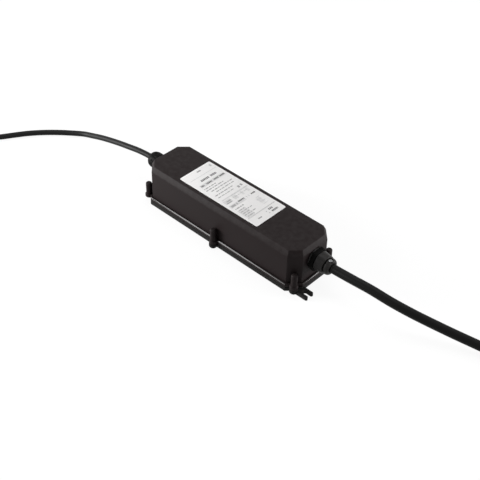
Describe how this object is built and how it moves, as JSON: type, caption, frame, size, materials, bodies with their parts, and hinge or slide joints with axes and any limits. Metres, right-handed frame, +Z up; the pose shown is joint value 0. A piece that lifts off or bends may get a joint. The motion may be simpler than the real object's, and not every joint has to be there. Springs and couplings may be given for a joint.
{
  "type": "led driver",
  "caption": "Sealed LED driver in a black moulded housing with a rating label, fork lugs, a cable gland at each end and rubber leads with bared cores.",
  "frame": {"origin": "centre of the base plate's underside, which lies on the mounting surface", "axes": "+X along the housing to the mains end, +Z up through the label"},
  "size_m": [0.7913, 0.1545, 0.0472],
  "materials": {
    "housing": "matte",
    "base": "matte",
    "label": "matte",
    "gland": "satin",
    "rubber": "matte",
    "cable": "satin",
    "screw_steel": "satin",
    "saddle_brass": "satin",
    "mains_core": "satin",
    "output_core": "satin",
    "tinned_copper": "satin",
    "board": "satin",
    "insulation": "matte",
    "terminal": "satin",
    "fuse_glass": "clear",
    "blue_coat": "satin",
    "yellow_case": "satin",
    "ferrite": "matte",
    "winding": "satin",
    "tape": "satin",
    "device": "matte",
    "sleeve": "gloss",
    "sink": "satin"
  },
  "bodies": {
    "root": {"cover": "housing", "base_plate": "base", "gasket": "rubber", "cover_screws": "screw_steel", "label": "label", "mains_gland_body": "gland", "mains_gland_washer": "rubber", "mains_gland_locknut": "gland", "mains_gland_seal": "rubber", "mains_gland_nut": "gland", "strain_relief_collar": "gland", "pressure_saddle": "saddle_brass", "pinch_screw": "screw_steel", "output_gland_body": "gland", "output_gland_washer": "rubber", "output_gland_locknut": "gland", "output_gland_seal": "rubber", "output_gland_nut": "gland", "mains_cable": "cable", "mains_cores": "mains_core", "mains_core_tips": "tinned_copper", "output_cable": "cable", "output_cores": "output_core", "output_core_tips": "tinned_copper", "circuit_board": "board", "board_screws": "screw_steel", "insulating_sheet": "insulation", "input_terminal": "terminal", "output_terminal": "terminal", "mains_inner_wires": "mains_core", "output_inner_wires": "output_core", "fuse": "fuse_glass", "varistor": "blue_coat", "interference_capacitor": "yellow_case", "choke_ring": "ferrite", "choke_windings": "winding", "bridge_rectifier": "device", "bulk_capacitor": "sleeve", "switching_transistor": "device", "transistor_heat_sink": "sink", "transformer_core": "ferrite", "transformer_winding": "tape", "safety_capacitors": "blue_coat", "output_diode": "device", "diode_heat_sink": "sink", "output_capacitors": "sleeve", "optocoupler": "device", "control_chip": "device"}
  },
  "joints": []
}
